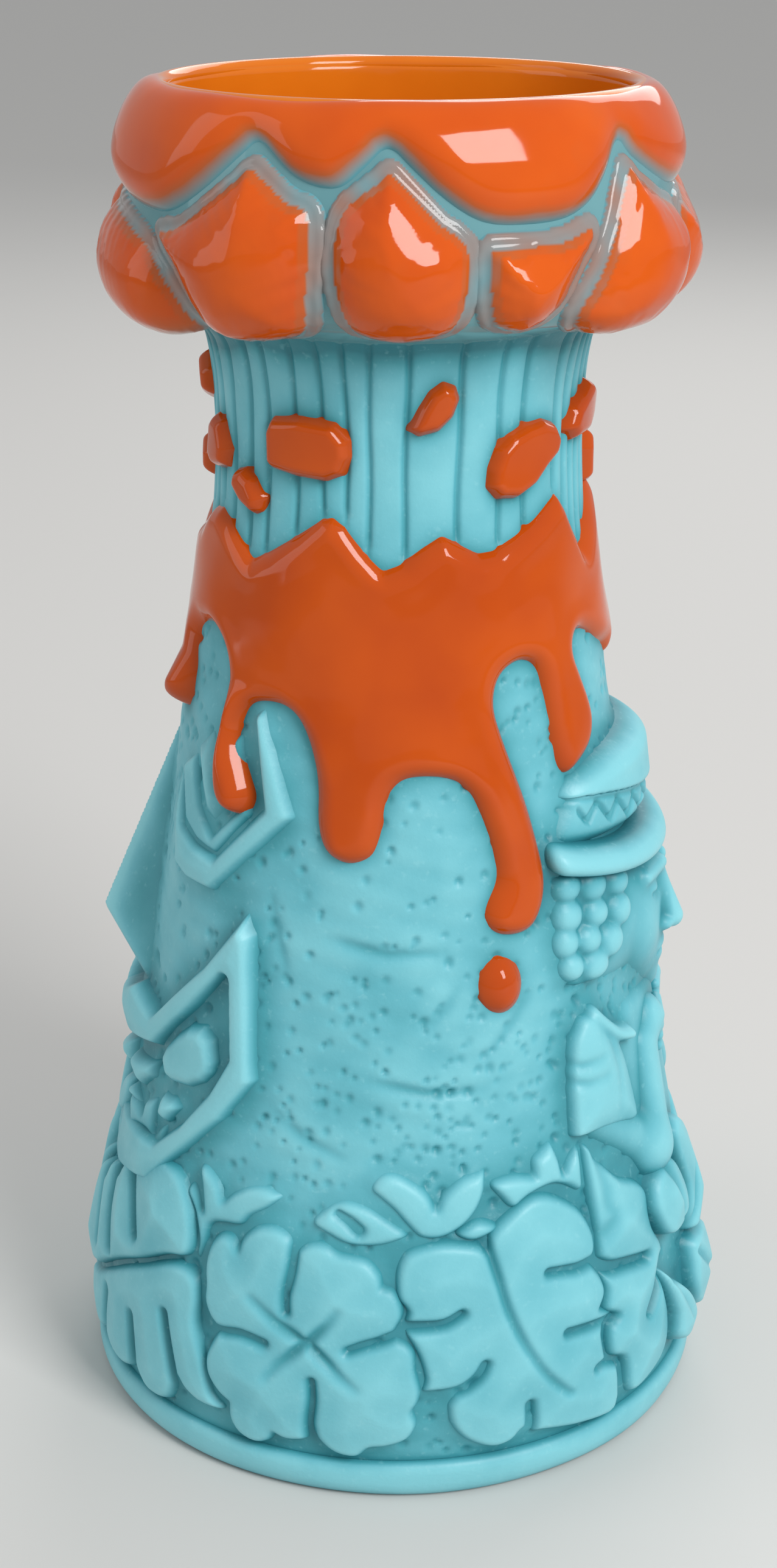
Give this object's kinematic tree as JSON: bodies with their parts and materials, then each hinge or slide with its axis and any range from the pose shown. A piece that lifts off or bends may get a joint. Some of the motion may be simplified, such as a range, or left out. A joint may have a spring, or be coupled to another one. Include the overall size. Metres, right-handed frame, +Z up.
{
  "type": "tiki mug",
  "caption": "Tall glazed ceramic cocktail mug shaped as an erupting volcano, with a puffed cloud lip, running lava, a carved mask, a hatted figure and leaves round the foot.",
  "frame": {"origin": "middle of the foot, on the table", "axes": "+Z up to the mouth, -Y towards the side with the long lava drips, -X towards the mask, +X towards the hatted figure"},
  "size_m": [0.1007, 0.1006, 0.2],
  "materials": {
    "satin_turquoise": "satin glaze, pale on raised parts and deeper in the recesses",
    "gloss_orange": "thick high-gloss orange glaze",
    "gloss_amber": "gloss orange liner glaze"
  },
  "bodies": {
    "root": {"base_plinth": "satin_turquoise", "body_wall": "satin_turquoise", "inner_glaze": "gloss_amber", "mouth_rim": "gloss_orange", "cloud_core": "satin_turquoise", "cloud_roll": "gloss_orange", "cloud_puffs": "gloss_orange", "lava_collar": "gloss_orange", "lava_drop": "gloss_orange", "flying_rocks": "gloss_orange", "mask_nose": "satin_turquoise", "mask_eye_bands": "satin_turquoise", "mask_eyelids": "satin_turquoise", "mask_pupils": "satin_turquoise", "mask_lips": "satin_turquoise", "mask_teeth": "satin_turquoise", "hat_crown": "satin_turquoise", "hat_band": "satin_turquoise", "hat_brim": "satin_turquoise", "figure_head": "satin_turquoise", "hair_curls": "satin_turquoise", "figure_shirt": "satin_turquoise", "figure_arms": "satin_turquoise", "hibiscus_flowers": "satin_turquoise", "monstera_leaves": "satin_turquoise", "palm_leaves": "satin_turquoise", "fern_leaves": "satin_turquoise", "leaf_sprigs": "satin_turquoise"}
  },
  "joints": []
}
